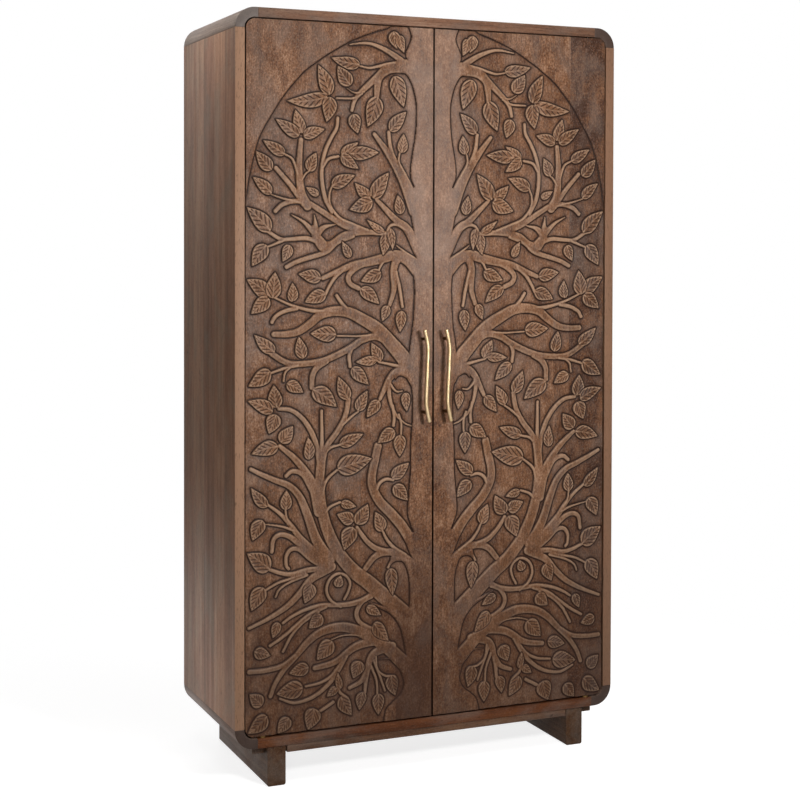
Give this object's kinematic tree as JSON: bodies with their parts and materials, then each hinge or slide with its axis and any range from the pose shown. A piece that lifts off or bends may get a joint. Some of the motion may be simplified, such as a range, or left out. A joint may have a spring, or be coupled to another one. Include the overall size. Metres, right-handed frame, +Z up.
{
  "type": "tall cabinet",
  "caption": "Tall cupboard with rounded case corners, panel legs, inset doors carved with a tree of life, bent brass pulls and shelves inside.",
  "frame": {"origin": "centre of the footprint on the floor, the pulls included in the depth", "axes": "+Z up, +X to the right for someone facing the doors, +Y to the back; the doors face -Y"},
  "size_m": [1, 0.463, 1.81],
  "materials": {
    "case_top": "satin stained wood",
    "case_side": "satin stained wood",
    "corner_wood": "satin stained end grain",
    "inner_wood": "matt oiled wood",
    "base_wood": "satin stained wood",
    "door_wood": "satin stained wood, carved",
    "pull_brass": "polished",
    "bush_brass": "machined",
    "steel": "zinc plated",
    "catch_plastic": "moulded brown"
  },
  "bodies": {
    "case": {"top_panel": "case_top", "bottom_panel": "case_top", "left_side_panel": "case_side", "right_side_panel": "case_side", "top_left_corner_block": "corner_wood", "top_right_corner_block": "corner_wood", "bottom_left_corner_block": "corner_wood", "bottom_right_corner_block": "corner_wood", "back_panel": "inner_wood", "left_back_batten": "inner_wood", "right_back_batten": "inner_wood", "wall_rail": "inner_wood", "fixed_shelf": "inner_wood", "lower_shelf": "inner_wood", "upper_shelf": "inner_wood", "top_shelf": "inner_wood", "left_door_stop": "inner_wood", "right_door_stop": "inner_wood", "base_rail": "base_wood", "left_base_strip": "base_wood", "right_base_strip": "base_wood", "left_leg_panel": "base_wood", "right_leg_panel": "base_wood", "top_left_pivot_bush": "bush_brass", "top_right_pivot_bush": "bush_brass", "bottom_left_pivot_bush": "bush_brass", "bottom_right_pivot_bush": "bush_brass", "left_thrust_washer": "steel", "right_thrust_washer": "steel", "shelf_pins": "steel", "leg_screws": "steel", "left_magnetic_catch": "catch_plastic", "right_magnetic_catch": "catch_plastic"},
    "left_door": {"left_door_panel": "door_wood", "left_handle_bar": "pull_brass", "left_handle_posts": "pull_brass", "left_handle_screws": "steel", "left_door_top_pin": "steel", "left_door_bottom_pin": "steel", "left_strike_plate": "steel"},
    "right_door": {"right_door_panel": "door_wood", "right_handle_bar": "pull_brass", "right_handle_posts": "pull_brass", "right_handle_screws": "steel", "right_door_top_pin": "steel", "right_door_bottom_pin": "steel", "right_strike_plate": "steel"}
  },
  "joints": [
    {"name": "left_door_swing", "type": "hinge", "parent": "case", "child": "left_door", "pos_m": [-0.43, -0.1875, 0.9525], "axis": [0, 0, -1], "range_deg": [0, 110]},
    {"name": "right_door_swing", "type": "hinge", "parent": "case", "child": "right_door", "pos_m": [0.43, -0.1875, 0.9525], "axis": [0, 0, 1], "range_deg": [0, 110]}
  ]
}
